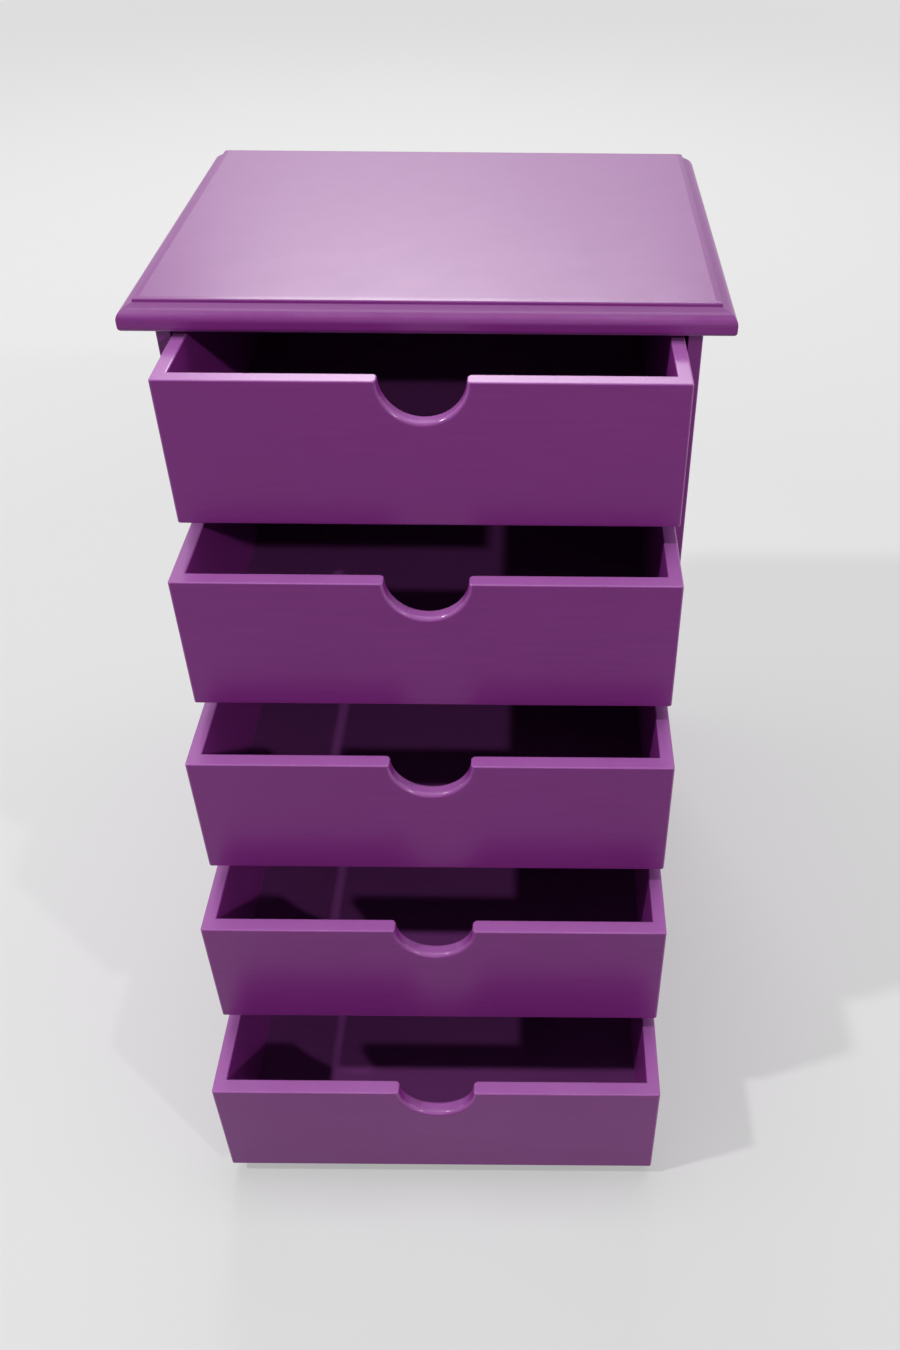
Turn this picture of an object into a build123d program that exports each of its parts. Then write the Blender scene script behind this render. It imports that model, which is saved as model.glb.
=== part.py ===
from build123d import *
import os

# Wooden jewellery box: a case with a moulded top and five open-topped drawers that slide to the front.
# Millimetres. X runs from left to right, Y from front to back, Z up.
# The origin is the middle of the underside of the case.

# Drawers, all alike
drawer_width = 210.0
drawer_height = 65.0
drawer_front_thickness = 7.0
drawer_side_thickness = 6.0
drawer_back_thickness = 6.0
drawer_bottom_thickness = 4.0
bottom_seat_depth = 3.0
notch_radius = 17.5
notch_edge_round = 2.0
drawer_corner_round = 1.2
rim_round = 0.7

# How far each drawer stands open, from the top one down, as shares of the drawer's length
drawer_opening_shares = (0.245, 0.396, 0.549, 0.705, 0.895)

# Room for the drawers to run
side_clearance = 2.0
upper_clearance = 2.2
running_gap = 0.3
rear_clearance = 0.5

# Case
case_depth = 188.0
side_panel_thickness = 6.0
shelf_thickness = 8.0
base_thickness = 8.0
back_panel_thickness = 4.0
shelf_housing_depth = 2.0
back_seat_depth = 4.0
case_edge_round = 0.7

# Top board, moulded on the front and both sides
top_thickness = 12.0
top_side_overhang = 12.5
top_front_overhang = 8.0
moulding_width = 6.2
moulding_drop = 2.5
moulding_radius = 5.0
moulding_lower_radius = 2.2
field_step_height = 1.5
field_margin_width = 2.6
field_margin_drop = 0.25
field_edge_round = 0.6

# Dowels between the top board and the side panels
dowel_diameter = 4.0
dowel_depth_in_top = 7.0
dowel_depth_in_side = 13.0
dowel_place_shares = (0.15, 0.5, 0.85)

# Panel pins of the back panel and the drawer bottoms
pin_diameter = 1.2
pin_length = 12.0
pin_head_diameter = 2.4
pin_head_thickness = 0.8
shelf_pin_shares = (0.25, 0.75)
long_wall_pin_shares = (0.12, 0.5, 0.88)
short_wall_pin_shares = (0.25, 0.75)

# Sizes that follow from the ones above
drawer_count = len(drawer_opening_shares)
drawer_length = case_depth - back_panel_thickness - rear_clearance
inner_width = drawer_width - 2 * drawer_side_thickness
inner_back = drawer_length - drawer_back_thickness
bay_width = drawer_width + 2 * side_clearance
bay_height = drawer_height + upper_clearance + running_gap
bay_pitch = bay_height + shelf_thickness
case_width = bay_width + 2 * side_panel_thickness
case_height = base_thickness + drawer_count * bay_pitch - shelf_thickness
case_front = -case_depth / 2
case_back = case_depth / 2


def block(x_range, y_range, z_range):
    size = [high - low for low, high in (x_range, y_range, z_range)]
    corner = (x_range[0], y_range[0], z_range[0])
    return Pos(*corner) * Box(*size, align=(Align.MIN, Align.MIN, Align.MIN))


def centred(width):
    return (-width / 2, width / 2)


def along(low, high, share):
    return low + (high - low) * share


# A round pin with a flat head, whose head lies flush at the given place
def panel_pin(place, direction):
    upright = (Align.CENTER, Align.CENTER, Align.MIN)
    shank = Cylinder(pin_diameter / 2, pin_length, align=upright)
    head = Cylinder(pin_head_diameter / 2, pin_head_thickness, align=upright)
    return Plane(origin=place, z_dir=direction) * (shank + head)


# Height of the surface that a drawer runs on, counted from the top drawer down
def bay_floor(number):
    return base_thickness + (drawer_count - number) * bay_pitch


# Drawer pieces, with the front face at Y zero and the lower edge at Z zero

def drawer_bottom_block():
    width = inner_width + 2 * bottom_seat_depth
    front = drawer_front_thickness - bottom_seat_depth
    back = inner_back + bottom_seat_depth
    return block(centred(width), (front, back), (0, drawer_bottom_thickness))


# Round bar across the front board, centred on the rim, which leaves a half-round notch
def notch_cutter():
    middle = Plane(origin=(0, drawer_front_thickness / 2, drawer_height), z_dir=(0, 1, 0))
    return middle * Cylinder(notch_radius, drawer_front_thickness)


# The four walls in one ring, eased along its rim, before it is parted into boards
def drawer_ring():
    outer = block(centred(drawer_width), (0, drawer_length), (0, drawer_height))
    outer = fillet(outer.edges().filter_by(Axis.Z), drawer_corner_round)
    outer = fillet(outer.edges().group_by(Axis.Z)[0], rim_round)
    inside = block(centred(inner_width), (drawer_front_thickness, inner_back), (0, drawer_height))
    ring = outer - inside - notch_cutter()
    front_faces = ring.faces().filter_by(Axis.Y).sort_by(Axis.Y)[:2]
    ring = fillet(front_faces.edges().filter_by(GeomType.CIRCLE), notch_edge_round)
    return fillet(ring.edges().group_by(Axis.Z)[-1], rim_round)


def drawer_pins():
    long_wall_x = (inner_width + bottom_seat_depth) / 2
    front_y = drawer_front_thickness - bottom_seat_depth / 2
    back_y = inner_back + bottom_seat_depth / 2
    places = []
    for share in long_wall_pin_shares:
        y = along(drawer_front_thickness, inner_back, share)
        places += [(-long_wall_x, y, 0), (long_wall_x, y, 0)]
    for share in short_wall_pin_shares:
        x = along(-inner_width / 2, inner_width / 2, share)
        places += [(x, front_y, 0), (x, back_y, 0)]
    return [panel_pin(place, (0, 0, 1)) for place in places]


# The boards of one drawer by name, each parted from the ring or cut to fit it
def drawer_pieces():
    bottom = drawer_bottom_block()
    pins = drawer_pins()
    walls = drawer_ring() - bottom - pins
    heights = (0, drawer_height)
    side_lengths = (drawer_front_thickness, drawer_length)
    left_widths = (-drawer_width / 2, -inner_width / 2)
    right_widths = (inner_width / 2, drawer_width / 2)
    front_zone = block(centred(drawer_width), (0, drawer_front_thickness), heights)
    back_zone = block(centred(inner_width), (inner_back, drawer_length), heights)
    return {
        "front": walls & front_zone,
        "left_side": walls & block(left_widths, side_lengths, heights),
        "right_side": walls & block(right_widths, side_lengths, heights),
        "back": walls & back_zone,
        "bottom": bottom - pins,
        "bottom_pins": Compound(pins),
    }


# Case pieces

# A board that is let into the side panels, with its two front edges eased
def shelf_block(floor, thickness):
    width = bay_width + 2 * shelf_housing_depth
    rear = case_back - back_panel_thickness
    board = block(centred(width), (case_front, rear), (floor - thickness, floor))
    front_edges = board.edges().filter_by(Axis.X).group_by(Axis.Y)[0]
    return fillet(front_edges, case_edge_round)


# Thin board let into the rear edges of the side panels
def back_panel_block():
    width = bay_width + 2 * back_seat_depth
    return block(centred(width), (case_back - back_panel_thickness, case_back), (0, case_height))


def top_dowels():
    x = (bay_width + side_panel_thickness) / 2
    length = dowel_depth_in_side + dowel_depth_in_top
    dowel = Cylinder(dowel_diameter / 2, length, align=(Align.CENTER, Align.CENTER, Align.MIN))
    foot = case_height - dowel_depth_in_side
    depths = [along(case_front, case_back, share) for share in dowel_place_shares]
    return [Pos(side * x, y, foot) * dowel for side in (-1, 1) for y in depths]


def back_pins():
    side_x = (bay_width + back_seat_depth) / 2
    places = []
    for number in range(1, drawer_count + 1):
        middle = bay_floor(number) + bay_height / 2
        places += [(-side_x, case_back, middle), (side_x, case_back, middle)]
    shelf_middles = [bay_floor(number) - shelf_thickness / 2 for number in range(1, drawer_count)]
    for z in shelf_middles + [base_thickness / 2]:
        for share in shelf_pin_shares:
            places.append((along(-bay_width / 2, bay_width / 2, share), case_back, z))
    return [panel_pin(place, (0, -1, 0)) for place in places]


# Slopes a board's upper edges at the front and both sides, and rounds the foot of the slope
def sloped_rim(board, width, drop, foot_round):
    upper_face = board.faces().sort_by(Axis.Z)[-1]
    rim = upper_face.edges().sort_by(Axis.Y)[:-1]
    board = chamfer(rim, width, drop, reference=upper_face)
    slope_feet = board.edges().group_by(Axis.Z)[-3]
    return fillet(slope_feet, foot_round)


# Board with a rounded moulding, and a thin raised field that rises where the moulding ends
def top_board():
    width = case_width + 2 * top_side_overhang
    front = case_front - top_front_overhang
    top = case_height + top_thickness
    board = block(centred(width), (front, case_back), (case_height, top - field_step_height))
    board = sloped_rim(board, moulding_width, moulding_drop, moulding_radius)
    lower_edges = board.edges().group_by(Axis.Z)[0].sort_by(Axis.Y)[:-1]
    board = fillet(lower_edges, moulding_lower_radius)
    field_width = width - 2 * moulding_width
    field = block(centred(field_width), (front + moulding_width, case_back), (case_height, top))
    return board + sloped_rim(field, field_margin_width, field_margin_drop, field_edge_round)


def case_pieces():
    dowels = top_dowels()
    pins = back_pins()
    back = back_panel_block()
    base = shelf_block(base_thickness, base_thickness)
    shelves = {f"shelf_{number}": shelf_block(bay_floor(number), shelf_thickness)
               for number in range(1, drawer_count)}
    left = block((-case_width / 2, -bay_width / 2), (case_front, case_back), (0, case_height))
    right = block((bay_width / 2, case_width / 2), (case_front, case_back), (0, case_height))
    left_corners = left.edges().filter_by(Axis.Z).group_by(Axis.X)[0]
    right_corners = right.edges().filter_by(Axis.Z).group_by(Axis.X)[-1]
    back_rim = back.edges().group_by(Axis.Y)[-1]
    fitted = [back, base] + list(shelves.values()) + dowels + pins
    pieces = {
        "top_board": top_board() - dowels,
        "left_side_panel": fillet(left_corners, case_edge_round) - fitted,
        "right_side_panel": fillet(right_corners, case_edge_round) - fitted,
        "back_panel": fillet(back_rim, case_edge_round) - pins,
        "base_board": base - pins,
        "top_dowels": Compound(dowels),
        "back_panel_pins": Compound(pins),
    }
    for name, shelf in shelves.items():
        pieces[name] = shelf - pins
    return pieces


def write(pieces):
    os.makedirs("parts", exist_ok=True)
    for name, piece in pieces.items():
        export_step(piece, f"parts/{name}.step")


write(case_pieces())
one_drawer = drawer_pieces()
for number in range(1, drawer_count + 1):
    opening = drawer_opening_shares[number - 1] * drawer_length
    place = Pos(0, case_front - opening, bay_floor(number) + running_gap)
    write({f"drawer_{number}_{name}": place * piece for name, piece in one_drawer.items()})
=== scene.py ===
import math

import bmesh
import bpy
from mathutils import Matrix, Vector

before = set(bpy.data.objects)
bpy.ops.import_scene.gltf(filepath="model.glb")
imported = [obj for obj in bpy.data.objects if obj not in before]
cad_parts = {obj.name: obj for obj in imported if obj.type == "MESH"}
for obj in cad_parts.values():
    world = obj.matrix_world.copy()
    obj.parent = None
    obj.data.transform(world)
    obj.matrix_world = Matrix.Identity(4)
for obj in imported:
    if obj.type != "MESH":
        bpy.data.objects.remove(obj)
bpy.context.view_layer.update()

scene = bpy.context.scene
scene.view_settings.view_transform = "Standard"


# small helpers for node materials

def newMaterial(name):
    material = bpy.data.materials.new(name)
    material.use_nodes = True
    tree = material.node_tree
    return material, tree, tree.nodes["Principled BSDF"]


# links a node's output to a socket, or writes a plain value on it
def feed(tree, socket, value):
    if isinstance(value, bpy.types.NodeSocket):
        tree.links.new(value, socket)
    else:
        socket.default_value = value


def addNode(tree, kind, inputs, **settings):
    node = tree.nodes.new(kind)
    for key, value in settings.items():
        setattr(node, key, value)
    for key, value in inputs.items():
        feed(tree, node.inputs[key], value)
    return node


def addCoords(tree, kind):
    return addNode(tree, "ShaderNodeTexCoord", {}).outputs[kind]


def addStretch(tree, place, scale):
    return addNode(tree, "ShaderNodeMapping", {"Vector": place, "Scale": scale}).outputs["Vector"]


def addNoise(tree, place, size, detail, roughness):
    inputs = {"Vector": place, "Scale": 1.0 / size, "Detail": detail, "Roughness": roughness}
    return addNode(tree, "ShaderNodeTexNoise", inputs).outputs["Fac"]


def addMath(tree, operation, first, second):
    return addNode(tree, "ShaderNodeMath", {0: first, 1: second}, operation=operation).outputs[0]


def addRange(tree, value, source, target=(0.0, 1.0)):
    inputs = {"Value": value, "From Min": source[0], "From Max": source[1],
              "To Min": target[0], "To Max": target[1]}
    return addNode(tree, "ShaderNodeMapRange", inputs).outputs["Result"]


def mixValue(tree, share, first, second):
    return addNode(tree, "ShaderNodeMix", {0: share, 2: first, 3: second}).outputs[0]


def mixColour(tree, share, first, second):
    return addNode(tree, "ShaderNodeMix", {0: share, 6: first, 7: second}, data_type="RGBA").outputs[2]


# stretch of a streak along each axis
alongX, alongY, alongZ = (1.0, 14.0, 14.0), (14.0, 1.0, 14.0), (14.0, 14.0, 1.0)

# satin purple paint over smooth board: every family of boards changes a few of these values
# each noise is its size in metres, its detail and its roughness
paint = {
    "purple": (0.243, 0.027, 0.249, 1.0),
    "deepPurple": (0.221, 0.023, 0.227, 1.0),
    "clouds": (0.11, 4.0, 0.55),
    "streaks": (0.03, 4.0, 0.6),
    "streakStretch": alongX,
    "toneRange": (0.75, 1.25),  # of clouds and streaks together
    "smudges": (0.03, 5.0, 0.6),
    "smudgeRange": (0.3, 0.7),
    # paler paint on eased edges, partly wear and partly a painted sheen on their rounded faces
    "wornAndSheenEdgePurple": (0.39, 0.115, 0.41, 1.0),
    "edgeNormals": (0.97, 0.80),  # longest part of the normal where an edge begins, and where it is full
    "wearAndSheenRange": (0.35, 0.65),  # of the smudges
    "edgeWearAndSheen": (0.25, 0.8),
    # painted light and shade: rims of the drawers are painted paler for the light that falls on them from
    # above, and the field of the top darker, to leave room for its sheen
    "paintedUpLightPurple": (0.36, 0.128, 0.39, 1.0),  # on faces that look up
    "paintedUpLightNormals": (0.35, 0.95),
    "paintedUpLightShare": 0.0,
    "paintedUpLightFade": 0.8,
    "roughness": (0.33, 0.37),
    "edgeRoughness": 0.2,
    "specular": 0.33,
    "coat": 0.08,
    "coatRoughness": 0.14,
    "peel": (0.0024, 2.0, 0.5),
    "peelDepth": 0.000022,
    "streakDepth": 0.000004,
    "waves": (0.07, 1.0, 0.5),
    "waveDepth": 0.00008,
}


# one on a rounded edge, zero on a face square to the axes
def easedEdges(tree, normals):
    normal = addCoords(tree, "Normal")
    flat = addNode(tree, "ShaderNodeVectorMath", {0: normal}, operation="ABSOLUTE").outputs[0]
    x, y, z = addNode(tree, "ShaderNodeSeparateXYZ", {"Vector": flat}).outputs
    longest = addMath(tree, "MAXIMUM", addMath(tree, "MAXIMUM", x, y), z)
    return addRange(tree, longest, normals)


# one on a face that looks up, such as a rim or the field of the top, where light and shade are painted in
def paintedUpLightFaces(tree, normals):
    parts = addNode(tree, "ShaderNodeSeparateXYZ", {"Vector": addCoords(tree, "Normal")}).outputs
    return addRange(tree, parts["Z"], normals)


def purplePaint(name, changes):
    look = {**paint, **changes}
    material, tree, shader = newMaterial(name)
    place = addCoords(tree, "Object")
    clouds = addNoise(tree, place, *look["clouds"])
    streaks = addNoise(tree, addStretch(tree, place, look["streakStretch"]), *look["streaks"])
    smudges = addNoise(tree, place, *look["smudges"])
    peel = addNoise(tree, place, *look["peel"])
    waves = addNoise(tree, place, *look["waves"])

    # colour: soft clouds and faint roller streaks, then edges paler for wear and a painted sheen, then
    # painted light and shade on faces that look up
    tone = addRange(tree, addMath(tree, "ADD", clouds, streaks), look["toneRange"])
    colour = mixColour(tree, tone, look["deepPurple"], look["purple"])
    edges = easedEdges(tree, look["edgeNormals"])
    wearAndSheen = addRange(tree, smudges, look["wearAndSheenRange"], look["edgeWearAndSheen"])
    colour = mixColour(tree, addMath(tree, "MULTIPLY", edges, wearAndSheen), colour, look["wornAndSheenEdgePurple"])
    # painted light and shade on faces that look up, in patches
    if look["paintedUpLightShare"]:
        shares = (look["paintedUpLightFade"] * look["paintedUpLightShare"], look["paintedUpLightShare"])
        patchyPaintedUpLight = addRange(tree, smudges, look["smudgeRange"], shares)
        paintedUpLight = addMath(tree, "MULTIPLY", paintedUpLightFaces(tree, look["paintedUpLightNormals"]), patchyPaintedUpLight)
        colour = mixColour(tree, paintedUpLight, colour, look["paintedUpLightPurple"])
    feed(tree, shader.inputs["Base Color"], colour)

    # gloss: satin, with a roughness of their own on the eased edges
    satin = addRange(tree, smudges, look["smudgeRange"], look["roughness"])
    feed(tree, shader.inputs["Roughness"], mixValue(tree, edges, satin, look["edgeRoughness"]))
    feed(tree, shader.inputs["Specular IOR Level"], look["specular"])
    feed(tree, shader.inputs["Coat Weight"], look["coat"])
    feed(tree, shader.inputs["Coat Roughness"], look["coatRoughness"])

    # relief: board waves, roller streaks and orange peel
    layers = [(waves, look["waveDepth"]), (streaks, look["streakDepth"]), (peel, look["peelDepth"])]
    relief = {}
    for height, depth in layers:
        inputs = {"Height": height, "Distance": depth, "Strength": 1.0, **relief}
        bump = addNode(tree, "ShaderNodeBump", inputs)
        relief = {"Normal": bump.outputs["Normal"]}
    feed(tree, shader.inputs["Normal"], relief["Normal"])
    return material


# steel of the panel pins, dulled by small stains
steel = {
    "dullSteel": (0.42, 0.42, 0.44, 1.0),
    "brightSteel": (0.62, 0.62, 0.63, 1.0),
    "stains": (0.0012, 3.0, 0.5),
    "stainRange": (0.3, 0.7),
    "roughness": (0.28, 0.5),
    "metallic": 1.0,
}


def steelPins(name, values):
    material, tree, shader = newMaterial(name)
    stains = addNoise(tree, addCoords(tree, "Object"), *values["stains"])
    colour = mixColour(tree, stains, values["dullSteel"], values["brightSteel"])
    feed(tree, shader.inputs["Base Color"], colour)
    roughness = addRange(tree, stains, values["stainRange"], values["roughness"])
    feed(tree, shader.inputs["Roughness"], roughness)
    feed(tree, shader.inputs["Metallic"], values["metallic"])
    return material


# bare beech of the dowels, which stand upright
beech = {
    "darkGrain": (0.48, 0.29, 0.15, 1.0),
    "paleGrain": (0.68, 0.47, 0.29, 1.0),
    "grain": (0.008, 5.0, 0.6),
    "grainStretch": (12.0, 12.0, 1.0),
    "roughness": 0.6,
}


def beechDowels(name, values):
    material, tree, shader = newMaterial(name)
    drawn = addStretch(tree, addCoords(tree, "Object"), values["grainStretch"])
    grain = addNoise(tree, drawn, *values["grain"])
    colour = mixColour(tree, grain, values["darkGrain"], values["paleGrain"])
    feed(tree, shader.inputs["Base Color"], colour)
    feed(tree, shader.inputs["Roughness"], values["roughness"])
    return material


# which finish each node takes, by the start or the end of its name, first match first
finishes = {
    "_pins": steelPins("steelPins", steel),
    "_dowels": beechDowels("beechDowels", beech),
    # the top: the field painted darker, a painted shade under its sheen; eased edges and moulding paler
    # for wear and a painted sheen
    "top_board": purplePaint("topPaint", {
        "streakStretch": alongX, "wornAndSheenEdgePurple": (0.4, 0.15, 0.41, 1.0), "edgeRoughness": 0.34,
        "paintedUpLightPurple": (0.168, 0.022, 0.178, 1.0), "paintedUpLightShare": 1.0}),
    "side_panel": purplePaint("casePaint", {"streakStretch": alongZ}),
    "back_panel": purplePaint("backPaint", {"streakStretch": alongZ}),
    "base_board": purplePaint("basePaint", {"streakStretch": alongX}),
    "shelf": purplePaint("shelfPaint", {"streakStretch": alongX}),
    # drawer boards: rims painted paler, a painted light from above
    "_front": purplePaint("frontPaint", {"streakStretch": alongX, "paintedUpLightShare": 0.7}),
    "_side": purplePaint("drawerSidePaint", {"streakStretch": alongY, "paintedUpLightShare": 0.7}),
    "_back": purplePaint("drawerBackPaint", {"streakStretch": alongX, "paintedUpLightShare": 0.7}),
    # painted shade and a faint painted reflection: the drawer floors take a darker, greyer purple than
    # the other boards
    "_bottom": purplePaint("drawerFloorShadedPaint", {
        "streakStretch": alongX,
        "purple": (0.185, 0.043, 0.2, 1.0), "deepPurple": (0.165, 0.036, 0.18, 1.0)}),
}
for name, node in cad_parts.items():
    match = next(part for part in finishes if name.endswith(part) or name.startswith(part))
    node.material_slots[0].material = finishes[match]
print("finishes:", len(finishes))

# floor and surroundings
studio = {
    "floorSize": 14.0,
    "floorColour": (0.36, 0.36, 0.36, 1.0),  # as seen
    "floorBounce": (0.22, 0.22, 0.22, 1.0),  # as it lights the box
    "floorGlow": (0.33, 0.66),  # near and far
    "glowReach": (0.5, 3.0),
    "glowColour": (1.0, 1.0, 1.0, 1.0),
    "floorRoughness": 0.9,
    "floorSpecular": 0.1,
    "skyColour": (0.86, 0.86, 0.86, 1.0),
    "skyStrength": (0.15, 1.0),  # as it lights the box, and as seen
}


# one for rays that show the surroundings: to the camera, in gloss or through glass
def seenRays(tree):
    rays = addNode(tree, "ShaderNodeLightPath", {}).outputs
    seen = addMath(tree, "MAXIMUM", rays["Is Camera Ray"], rays["Is Glossy Ray"])
    return addMath(tree, "MAXIMUM", seen, rays["Is Transmission Ray"])


def makeFloor(values):
    mesh = bpy.data.meshes.new("floor")
    grid = bmesh.new()
    bmesh.ops.create_grid(grid, x_segments=1, y_segments=1, size=values["floorSize"] / 2)
    grid.to_mesh(mesh)
    grid.free()
    floor = bpy.data.objects.new("floor", mesh)
    scene.collection.objects.link(floor)
    material, tree, shader = newMaterial("paleFloor")
    seen = seenRays(tree)
    colour = mixColour(tree, seen, values["floorBounce"], values["floorColour"])
    feed(tree, shader.inputs["Base Color"], colour)
    feed(tree, shader.inputs["Roughness"], values["floorRoughness"])
    feed(tree, shader.inputs["Specular IOR Level"], values["floorSpecular"])
    feed(tree, shader.inputs["Emission Color"], values["glowColour"])
    place = addCoords(tree, "Object")
    distance = addNode(tree, "ShaderNodeVectorMath", {0: place}, operation="LENGTH").outputs["Value"]
    glow = addRange(tree, distance, values["glowReach"], values["floorGlow"])
    feed(tree, shader.inputs["Emission Strength"], addMath(tree, "MULTIPLY", glow, seen))
    mesh.materials.append(material)


def makeSky(values):
    world = bpy.data.worlds.new("studio")
    scene.world = world
    world.use_nodes = True
    tree = world.node_tree
    background = tree.nodes["Background"]
    feed(tree, background.inputs["Color"], values["skyColour"])
    strength = addRange(tree, seenRays(tree), (0.0, 1.0), values["skyStrength"])
    feed(tree, background.inputs["Strength"], strength)


# soft boxes and fills, and two small spots that throw the shadows in the drawers
lamps = {
    "overheadBox": {"place": (0.0, 0.15, 2.0), "aim": (0, -0.15, 0.25), "size": (1.6, 0.7), "watts": 15},
    "rightSpot": {"place": (1.74, -1.86, 1.70), "aim": (0, -0.1, 0.2), "size": (0.09, 0.09), "watts": 20},
    "leftSpot": {"place": (-1.17, -0.62, 1.76), "aim": (0, -0.1, 0.2), "size": (0.09, 0.09), "watts": 19},
    "frontFill": {"place": (0.2, -2.4, 0.55), "aim": (0, -0.2, 0.2), "size": (1.2, 0.8), "watts": 3.5},
    "leftFill": {"place": (-2.2, 0.2, 0.5), "aim": (0, 0, 0.2), "size": (1.0, 0.8), "watts": 11},
    "rightFill": {"place": (2.2, 0.2, 0.5), "aim": (0, 0, 0.2), "size": (1.0, 0.8), "watts": 13},
    "backStrip": {"place": (-0.08, 1.60, 1.39), "aim": (0, 0, 0.39), "size": (0.94, 0.19), "watts": 10.3},
    "backSheet": {"place": (-0.28, 1.50, 1.60), "aim": (0, 0, 0.39), "size": (0.6, 0.76), "watts": 7.4},
}


def addLamp(name, values):
    lamp = bpy.data.lights.new(name, "AREA")
    lamp.shape = "RECTANGLE"
    lamp.size, lamp.size_y = values["size"]
    lamp.energy = values["watts"]
    holder = bpy.data.objects.new(name, lamp)
    place = Vector(values["place"])
    turn = (Vector(values["aim"]) - place).to_track_quat("-Z", "Y")
    holder.matrix_world = Matrix.Translation(place) @ turn.to_matrix().to_4x4()
    scene.collection.objects.link(holder)


makeFloor(studio)
makeSky(studio)
for lampName, lampValues in lamps.items():
    addLamp(lampName, lampValues)
print("studio lit by", len(lamps), "lamps")

# the photograph's standpoint: above the front, looking down on the open drawers, angles in degrees
camera = {
    "place": (0.0441, -0.5707, 0.5913),
    "tiltFromStraightDown": 50.02,
    "turn": -0.11,
    "roll": 0.53,
    "lens": 32.66,
    "shiftX": -0.0633,
    "nearest": 0.01,
}


def addCamera(values):
    data = bpy.data.cameras.new("camera")
    data.lens = values["lens"]
    data.shift_x = values["shiftX"]
    data.clip_start = values["nearest"]
    holder = bpy.data.objects.new("camera", data)
    turn = Matrix.Rotation(math.radians(values["turn"]), 4, "Z")
    tilt = Matrix.Rotation(math.radians(values["tiltFromStraightDown"]), 4, "X")
    roll = Matrix.Rotation(math.radians(values["roll"]), 4, "Z")
    holder.matrix_world = Matrix.Translation(values["place"]) @ turn @ tilt @ roll
    scene.collection.objects.link(holder)
    scene.camera = holder


addCamera(camera)
print("camera set with a lens of", camera["lens"], "mm")
